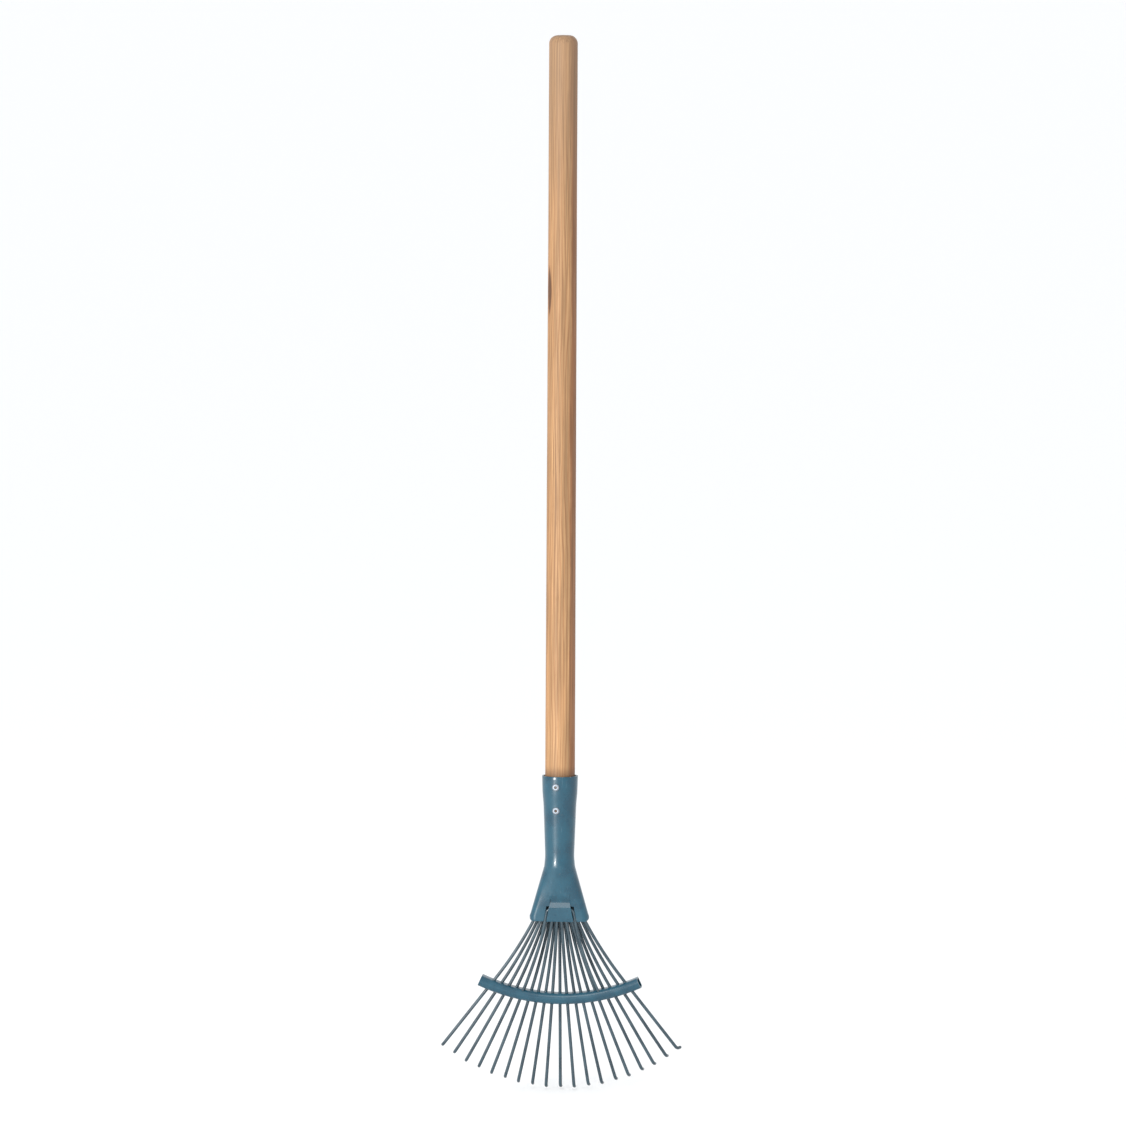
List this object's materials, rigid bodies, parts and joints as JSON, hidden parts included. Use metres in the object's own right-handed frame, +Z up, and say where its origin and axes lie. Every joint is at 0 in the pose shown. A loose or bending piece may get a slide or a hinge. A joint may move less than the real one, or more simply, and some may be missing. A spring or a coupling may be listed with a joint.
{
  "type": "leaf rake",
  "caption": "Small hand rake: a round wooden handle in a flared steel socket, a fan of hooked spring-wire tines and a curved crossbar with a wire brace.",
  "frame": {"origin": "on the handle's axis, in the middle of the straight grip, 80 mm below the top end", "axes": "+Z runs up the handle to its free end; -Y is the front, where the rivets and the tongue are; the tine hooks point towards +Y; +X is to the right seen from the front"},
  "size_m": [0.2097, 0.0371, 0.9138],
  "materials": {
    "wood": "sanded, unvarnished, long grain",
    "socket_paint": "semi-gloss slate blue enamel",
    "bar_paint": "semi-gloss slate blue enamel",
    "wire_paint": "semi-gloss slate blue enamel, thin",
    "aluminium": "bright, as formed",
    "steel": "plain, slightly rusty"
  },
  "bodies": {
    "frame": {"handle": "wood", "socket": "socket_paint", "rivet_upper": "aluminium", "rivet_lower": "aluminium", "mandrel_upper": "steel", "mandrel_lower": "steel", "tine_plate": "steel", "crossbar": "bar_paint", "brace_wire": "wire_paint", "tine_root_01": "wire_paint", "tine_root_02": "wire_paint", "tine_root_03": "wire_paint", "tine_root_04": "wire_paint", "tine_root_05": "wire_paint", "tine_root_06": "wire_paint", "tine_root_07": "wire_paint", "tine_root_08": "wire_paint", "tine_root_09": "wire_paint", "tine_root_10": "wire_paint", "tine_root_11": "wire_paint", "tine_root_12": "wire_paint", "tine_root_13": "wire_paint", "tine_root_14": "wire_paint", "tine_root_15": "wire_paint", "tine_root_16": "wire_paint", "tine_root_17": "wire_paint", "tine_root_18": "wire_paint", "tine_root_19": "wire_paint"},
    "flex_01": {"tine_01": "wire_paint"},
    "flex_02": {"tine_02": "wire_paint"},
    "flex_03": {"tine_03": "wire_paint"},
    "flex_04": {"tine_04": "wire_paint"},
    "flex_05": {"tine_05": "wire_paint"},
    "flex_06": {"tine_06": "wire_paint"},
    "flex_07": {"tine_07": "wire_paint"},
    "flex_08": {"tine_08": "wire_paint"},
    "flex_09": {"tine_09": "wire_paint"},
    "flex_10": {"tine_10": "wire_paint"},
    "flex_11": {"tine_11": "wire_paint"},
    "flex_12": {"tine_12": "wire_paint"},
    "flex_13": {"tine_13": "wire_paint"},
    "flex_14": {"tine_14": "wire_paint"},
    "flex_15": {"tine_15": "wire_paint"},
    "flex_16": {"tine_16": "wire_paint"},
    "flex_17": {"tine_17": "wire_paint"},
    "flex_18": {"tine_18": "wire_paint"},
    "flex_19": {"tine_19": "wire_paint"}
  },
  "joints": [
    {"name": "tine_01_flex", "type": "hinge", "parent": "frame", "child": "flex_01", "pos_m": [-0.06283, 0.00472, -0.74686], "axis": [0.7882, 0.0483, -0.6135], "range_deg": [-8, 4], "stiffness_Nm_per_rad": 15},
    {"name": "tine_02_flex", "type": "hinge", "parent": "frame", "child": "flex_02", "pos_m": [-0.05559, 0.00812, -0.74928], "axis": [0.8314, 0.0436, -0.554], "range_deg": [-8, 4], "stiffness_Nm_per_rad": 15},
    {"name": "tine_03_flex", "type": "hinge", "parent": "frame", "child": "flex_03", "pos_m": [-0.04843, 0.00511, -0.75183], "axis": [0.87, 0.0387, -0.4915], "range_deg": [-8, 4], "stiffness_Nm_per_rad": 15},
    {"name": "tine_04_flex", "type": "hinge", "parent": "frame", "child": "flex_04", "pos_m": [-0.04135, 0.00845, -0.75351], "axis": [0.9039, 0.0336, -0.4264], "range_deg": [-8, 4], "stiffness_Nm_per_rad": 15},
    {"name": "tine_05_flex", "type": "hinge", "parent": "frame", "child": "flex_05", "pos_m": [-0.03434, 0.00539, -0.75535], "axis": [0.933, 0.0282, -0.3589], "range_deg": [-8, 4], "stiffness_Nm_per_rad": 15},
    {"name": "tine_06_flex", "type": "hinge", "parent": "frame", "child": "flex_06", "pos_m": [-0.02739, 0.00868, -0.75638], "axis": [0.9569, 0.0228, -0.2895], "range_deg": [-8, 4], "stiffness_Nm_per_rad": 15},
    {"name": "tine_07_flex", "type": "hinge", "parent": "frame", "child": "flex_07", "pos_m": [-0.0205, 0.00557, -0.75761], "axis": [0.9757, 0.0172, -0.2185], "range_deg": [-8, 4], "stiffness_Nm_per_rad": 15},
    {"name": "tine_08_flex", "type": "hinge", "parent": "frame", "child": "flex_08", "pos_m": [-0.01364, 0.00881, -0.75804], "axis": [0.9892, 0.0115, -0.1463], "range_deg": [-8, 4], "stiffness_Nm_per_rad": 15},
    {"name": "tine_09_flex", "type": "hinge", "parent": "frame", "child": "flex_09", "pos_m": [-0.00682, 0.00565, -0.7587], "axis": [0.9973, 0.0058, -0.0734], "range_deg": [-8, 4], "stiffness_Nm_per_rad": 15},
    {"name": "tine_10_flex", "type": "hinge", "parent": "frame", "child": "flex_10", "pos_m": [0, 0.00885, -0.75859], "axis": [1, 0, 0], "range_deg": [-8, 4], "stiffness_Nm_per_rad": 15},
    {"name": "tine_11_flex", "type": "hinge", "parent": "frame", "child": "flex_11", "pos_m": [0.00682, 0.00565, -0.7587], "axis": [0.9973, -0.0058, 0.0734], "range_deg": [-8, 4], "stiffness_Nm_per_rad": 15},
    {"name": "tine_12_flex", "type": "hinge", "parent": "frame", "child": "flex_12", "pos_m": [0.01364, 0.00881, -0.75804], "axis": [0.9892, -0.0115, 0.1463], "range_deg": [-8, 4], "stiffness_Nm_per_rad": 15},
    {"name": "tine_13_flex", "type": "hinge", "parent": "frame", "child": "flex_13", "pos_m": [0.0205, 0.00557, -0.75761], "axis": [0.9757, -0.0172, 0.2185], "range_deg": [-8, 4], "stiffness_Nm_per_rad": 15},
    {"name": "tine_14_flex", "type": "hinge", "parent": "frame", "child": "flex_14", "pos_m": [0.02739, 0.00868, -0.75638], "axis": [0.9569, -0.0228, 0.2895], "range_deg": [-8, 4], "stiffness_Nm_per_rad": 15},
    {"name": "tine_15_flex", "type": "hinge", "parent": "frame", "child": "flex_15", "pos_m": [0.03434, 0.00539, -0.75535], "axis": [0.933, -0.0282, 0.3589], "range_deg": [-8, 4], "stiffness_Nm_per_rad": 15},
    {"name": "tine_16_flex", "type": "hinge", "parent": "frame", "child": "flex_16", "pos_m": [0.04135, 0.00845, -0.75351], "axis": [0.9039, -0.0336, 0.4264], "range_deg": [-8, 4], "stiffness_Nm_per_rad": 15},
    {"name": "tine_17_flex", "type": "hinge", "parent": "frame", "child": "flex_17", "pos_m": [0.04843, 0.00511, -0.75183], "axis": [0.87, -0.0387, 0.4915], "range_deg": [-8, 4], "stiffness_Nm_per_rad": 15},
    {"name": "tine_18_flex", "type": "hinge", "parent": "frame", "child": "flex_18", "pos_m": [0.05559, 0.00812, -0.74928], "axis": [0.8314, -0.0436, 0.554], "range_deg": [-8, 4], "stiffness_Nm_per_rad": 15},
    {"name": "tine_19_flex", "type": "hinge", "parent": "frame", "child": "flex_19", "pos_m": [0.06283, 0.00472, -0.74686], "axis": [0.7882, -0.0483, 0.6135], "range_deg": [-8, 4], "stiffness_Nm_per_rad": 15}
  ]
}
